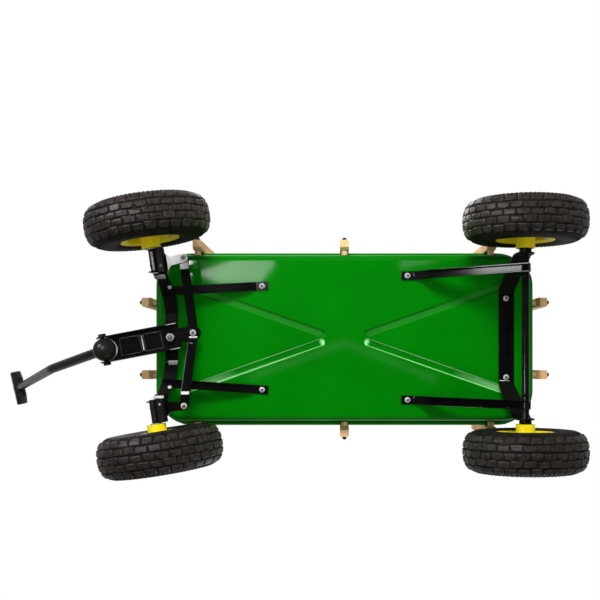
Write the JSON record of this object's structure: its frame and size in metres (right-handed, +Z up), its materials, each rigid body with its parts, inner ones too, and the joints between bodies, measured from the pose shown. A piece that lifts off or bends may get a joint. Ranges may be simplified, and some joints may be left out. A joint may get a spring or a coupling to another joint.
{
  "type": "pull-along stake wagon",
  "caption": "Pull-along garden stake wagon: pressed steel tray on air-filled tyres, wooden side racks, knuckle steering linked to the tongue, and a hinged pull handle.",
  "frame": {"origin": "on the ground, at the middle of the overall length from the rear tyres to the grip, on the centre line", "axes": "+X forward, towards the pull handle; +Y to the wagon's left; +Z up"},
  "size_m": [1.4842, 0.6001, 0.9654],
  "materials": {
    "green_enamel": "gloss",
    "yellow_enamel": "gloss",
    "black_paint": "satin",
    "zinc_steel": "satin",
    "wood": "satin",
    "tyre_rubber": "matt",
    "black_plastic": "satin"
  },
  "bodies": {
    "wagon": {"tray": "green_enamel", "stakes_left": "wood", "stakes_right": "wood", "stakes_front": "wood", "stakes_rear": "wood", "slats_left": "wood", "slats_right": "wood", "slats_front": "wood", "slats_rear": "wood", "rack_bolts": "zinc_steel", "rear_bracket": "black_paint", "rear_axle": "zinc_steel", "rear_brace_left": "black_paint", "rear_brace_right": "black_paint", "front_bracket": "black_paint", "front_brace_left": "black_paint", "front_brace_right": "black_paint", "pivot_bolt": "zinc_steel"},
    "tongue": {"tongue": "black_paint", "tail_bolt": "zinc_steel", "ball_bolt": "zinc_steel"},
    "handle": {"ball": "black_plastic", "handle_tube": "black_paint", "grip": "black_plastic"},
    "knuckle_left": {"knuckle_left": "black_paint", "kingpin_left": "zinc_steel", "spindle_left": "zinc_steel", "arm_bolt_left": "zinc_steel"},
    "tie_rod_left": {"tie_rod_left": "black_paint"},
    "wheel_front_left": {"rim_front_left": "yellow_enamel", "tyre_front_left": "tyre_rubber"},
    "wheel_rear_left": {"rim_rear_left": "yellow_enamel", "tyre_rear_left": "tyre_rubber"},
    "knuckle_right": {"knuckle_right": "black_paint", "kingpin_right": "zinc_steel", "spindle_right": "zinc_steel", "arm_bolt_right": "zinc_steel"},
    "tie_rod_right": {"tie_rod_right": "black_paint"},
    "wheel_front_right": {"rim_front_right": "yellow_enamel", "tyre_front_right": "tyre_rubber"},
    "wheel_rear_right": {"rim_rear_right": "yellow_enamel", "tyre_rear_right": "tyre_rubber"}
  },
  "joints": [
    {"name": "tongue_steer", "type": "hinge", "parent": "wagon", "child": "tongue", "pos_m": [0.14667, 0, 0.206], "axis": [0, 0, 1], "range_deg": [-10.2, 31.8]},
    {"name": "handle_lift", "type": "hinge", "parent": "tongue", "child": "handle", "pos_m": [0.28812, -0.02698, 0.193], "axis": [-0.1874, -0.9823, 0], "range_deg": [-70, 36]},
    {"name": "knuckle_left_steer", "type": "hinge", "parent": "wagon", "child": "knuckle_left", "pos_m": [0.17027, 0.152, 0.132], "axis": [0, 0, 1], "range_deg": [-9, 27]},
    {"name": "tie_rod_left_swing", "type": "hinge", "parent": "tongue", "child": "tie_rod_left", "pos_m": [0.09716, 0.00944, 0.203], "axis": [0, 0, 1], "range_deg": [-32, 11]},
    {"name": "wheel_front_left_spin", "type": "hinge", "parent": "knuckle_left", "child": "wheel_front_left", "pos_m": [0.184, 0.24095, 0.132], "axis": [0.1525, 0.9883, 0], "continuous": true},
    {"name": "wheel_rear_left_spin", "type": "hinge", "parent": "wagon", "child": "wheel_rear_left", "pos_m": [-0.61013, 0.24165, 0.132], "axis": [0, 1, 0], "continuous": true},
    {"name": "knuckle_right_steer", "type": "hinge", "parent": "wagon", "child": "knuckle_right", "pos_m": [0.17027, -0.152, 0.132], "axis": [0, 0, 1], "range_deg": [-9, 27]},
    {"name": "tie_rod_right_swing", "type": "hinge", "parent": "tongue", "child": "tie_rod_right", "pos_m": [0.09716, 0.00944, 0.203], "axis": [0, 0, 1], "range_deg": [-32, 11]},
    {"name": "wheel_front_right_spin", "type": "hinge", "parent": "knuckle_right", "child": "wheel_front_right", "pos_m": [0.15671, -0.24097, 0.132], "axis": [0.1506, 0.9886, 0], "continuous": true},
    {"name": "wheel_rear_right_spin", "type": "hinge", "parent": "wagon", "child": "wheel_rear_right", "pos_m": [-0.61013, -0.24165, 0.132], "axis": [0, 1, 0], "continuous": true}
  ],
  "couplings": [
    {"joint": "knuckle_left_steer", "follows": "tongue_steer", "ratio": 0.803},
    {"joint": "tie_rod_left_swing", "follows": "tongue_steer", "ratio": -0.975},
    {"joint": "knuckle_right_steer", "follows": "tongue_steer", "ratio": 0.805},
    {"joint": "tie_rod_right_swing", "follows": "tongue_steer", "ratio": -0.981}
  ]
}
